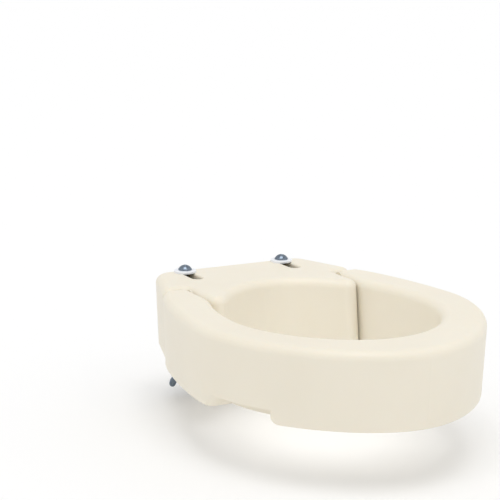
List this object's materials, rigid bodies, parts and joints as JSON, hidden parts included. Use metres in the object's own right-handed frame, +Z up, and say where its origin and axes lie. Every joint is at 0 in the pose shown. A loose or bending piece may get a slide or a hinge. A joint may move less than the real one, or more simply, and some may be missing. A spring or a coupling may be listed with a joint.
{
  "type": "raised toilet seat",
  "caption": "Hinged raised toilet seat: a hollow ivory riser that bolts on a toilet bowl under the user's own seat, with a ring that lifts for cleaning.",
  "frame": {"origin": "halfway between the two mounting screws, on the plane of the bowl's rim where the riser's rubber bumpers rest", "axes": "+Z up, the riser's front towards -Y and the cistern side towards +Y, +X to the right when the front is faced"},
  "size_m": [0.3472, 0.4482, 0.1588],
  "materials": {
    "ivory_plastic": "satin moulded polyethylene",
    "white_nylon": "smooth white nylon",
    "zinc_steel": "bright zinc plate",
    "stainless_pin": "ground steel",
    "grey_rubber": "matt rubber",
    "black_rubber": "matt rubber"
  },
  "bodies": {
    "rear": {"rear_block": "ivory_plastic", "hinge_pin_left": "stainless_pin", "hinge_pin_right": "stainless_pin", "rear_bumper_left": "grey_rubber", "rear_bumper_right": "grey_rubber"},
    "ring": {"seat_ring": "ivory_plastic", "hinge_bush_left": "ivory_plastic", "hinge_bush_right": "ivory_plastic", "ring_bumper_front_left": "grey_rubber", "ring_bumper_front_right": "grey_rubber", "ring_bumper_side_left": "grey_rubber", "ring_bumper_side_right": "grey_rubber"},
    "screw_left": {"mounting_screw_left": "zinc_steel", "top_washer_left": "white_nylon"},
    "clamp_left": {"rubber_washer_left": "black_rubber", "steel_washer_left": "zinc_steel"},
    "nut_left": {"wing_nut_left": "zinc_steel"},
    "screw_right": {"mounting_screw_right": "zinc_steel", "top_washer_right": "white_nylon"},
    "clamp_right": {"rubber_washer_right": "black_rubber", "steel_washer_right": "zinc_steel"},
    "nut_right": {"wing_nut_right": "zinc_steel"}
  },
  "joints": [
    {"name": "ring_lift", "type": "hinge", "parent": "rear", "child": "ring", "pos_m": [0, -0.084, 0.0789], "axis": [-1, 0, 0], "range_deg": [0, 95]},
    {"name": "screw_left_slide", "type": "slide", "parent": "rear", "child": "screw_left", "axis": [0, 1, 0], "range_m": [-0.0367, 0.0037]},
    {"name": "clamp_left_travel", "type": "slide", "parent": "screw_left", "child": "clamp_left", "axis": [0, 0, -1], "range_m": [0, 0.00988]},
    {"name": "nut_left_spin", "type": "hinge", "parent": "clamp_left", "child": "nut_left", "pos_m": [-0.06985, 0, -0.0446], "axis": [0, 0, -1], "range_deg": [0, 2520]},
    {"name": "screw_right_slide", "type": "slide", "parent": "rear", "child": "screw_right", "axis": [0, 1, 0], "range_m": [-0.0367, 0.0037]},
    {"name": "clamp_right_travel", "type": "slide", "parent": "screw_right", "child": "clamp_right", "axis": [0, 0, -1], "range_m": [0, 0.00988]},
    {"name": "nut_right_spin", "type": "hinge", "parent": "clamp_right", "child": "nut_right", "pos_m": [0.06985, 0, -0.0446], "axis": [0, 0, -1], "range_deg": [0, 2520]}
  ],
  "couplings": [
    {"joint": "nut_left_spin", "follows": "clamp_left_travel", "rad_per_m": 4452.7},
    {"joint": "nut_right_spin", "follows": "clamp_right_travel", "rad_per_m": 4452.7}
  ]
}
